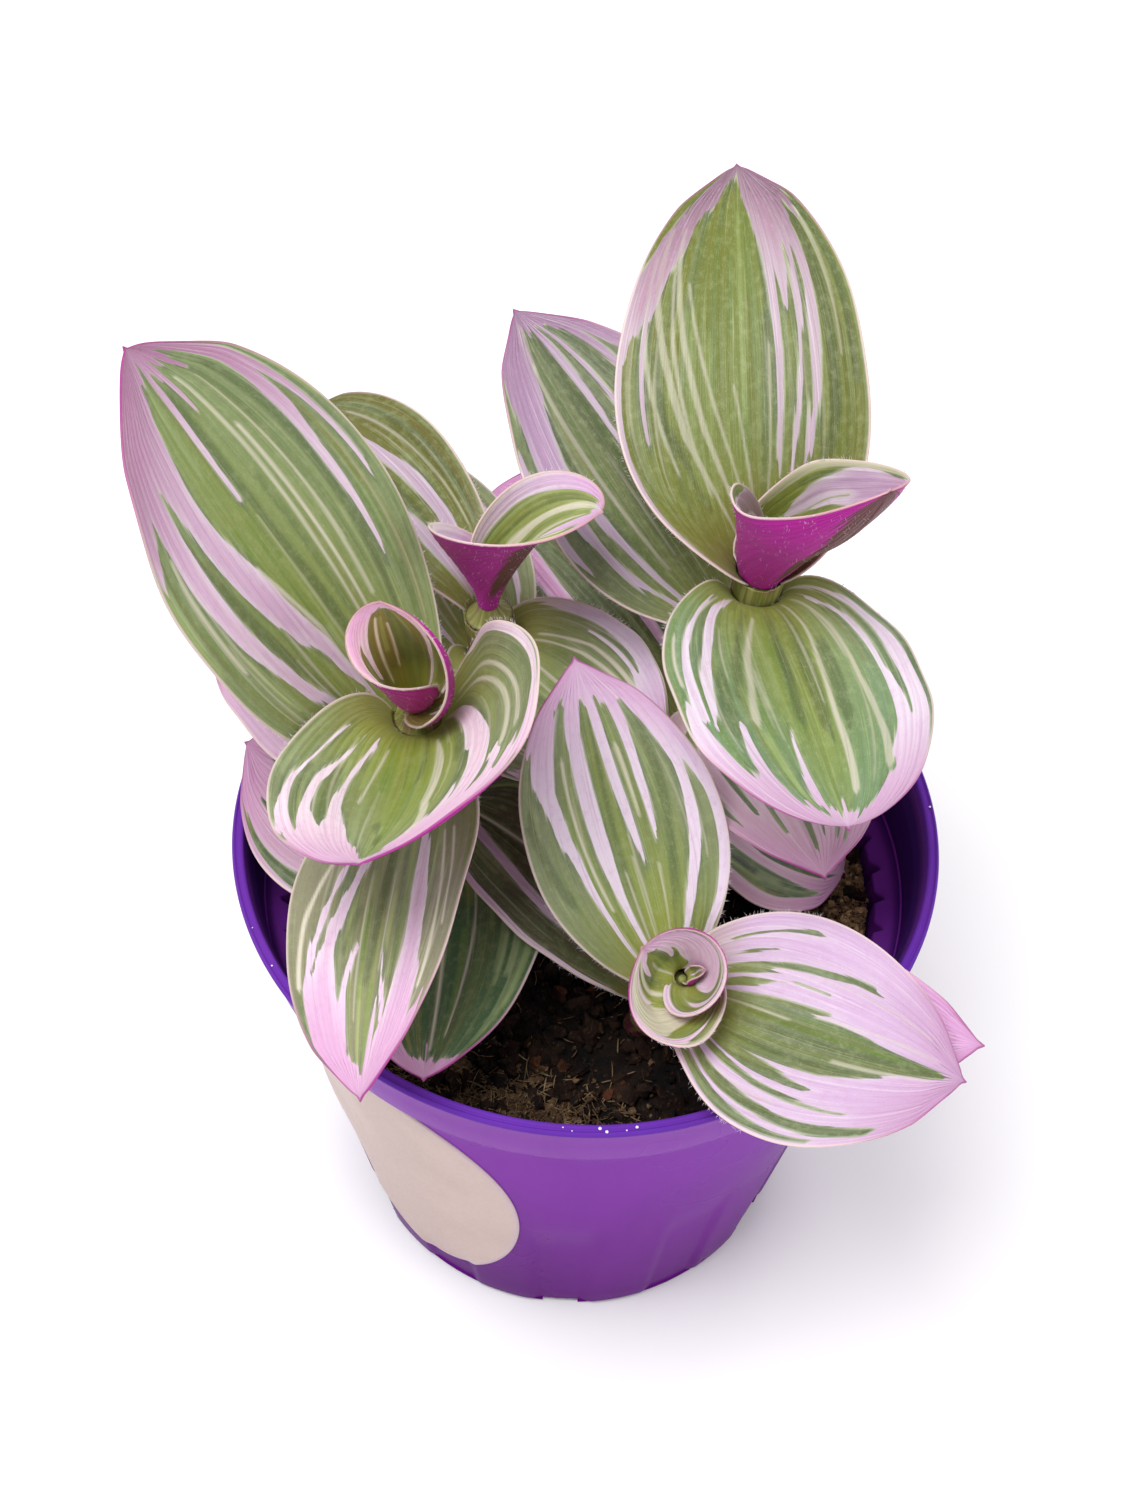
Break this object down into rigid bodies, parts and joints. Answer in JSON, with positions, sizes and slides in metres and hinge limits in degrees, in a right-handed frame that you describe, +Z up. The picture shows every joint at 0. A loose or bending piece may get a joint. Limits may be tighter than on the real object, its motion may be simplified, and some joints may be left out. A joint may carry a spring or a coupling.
{
  "type": "potted tradescantia",
  "caption": "Small house plant with striped lilac, green and cream leaves on short upright shoots, in a round tapered plastic nursery pot of soil.",
  "frame": {"origin": "centre of the pot's foot, on the surface that the pot stands on", "axes": "+Z up along the pot's axis; -Y is the front, where the label is at the left; +X to the right"},
  "size_m": [0.1007, 0.1075, 0.1427],
  "materials": {
    "pot": "satin",
    "label": "satin",
    "soil": "matte",
    "stem": "satin",
    "leaf": "satin",
    "young_leaf": "satin"
  },
  "bodies": {
    "root": {"pot": "pot", "label": "label", "soil": "soil", "left_stem": "stem", "left_leaf_1": "young_leaf", "left_leaf_2": "leaf", "left_leaf_3": "leaf", "left_leaf_4": "leaf", "left_leaf_5": "leaf", "left_leaf_6": "leaf", "left_leaf_7": "leaf", "back_stem": "stem", "back_leaf_1": "young_leaf", "back_leaf_2": "leaf", "back_leaf_3": "leaf", "back_leaf_4": "leaf", "back_leaf_5": "leaf", "back_leaf_6": "leaf", "right_stem": "stem", "right_leaf_1": "young_leaf", "right_leaf_2": "leaf", "right_leaf_3": "leaf", "right_leaf_4": "leaf", "right_leaf_5": "leaf", "right_leaf_6": "leaf", "right_leaf_7": "leaf", "right_leaf_8": "leaf", "front_stem": "stem", "front_leaf_1": "young_leaf", "front_leaf_2": "leaf", "front_leaf_3": "leaf", "front_leaf_4": "leaf", "front_leaf_5": "leaf"}
  },
  "joints": []
}
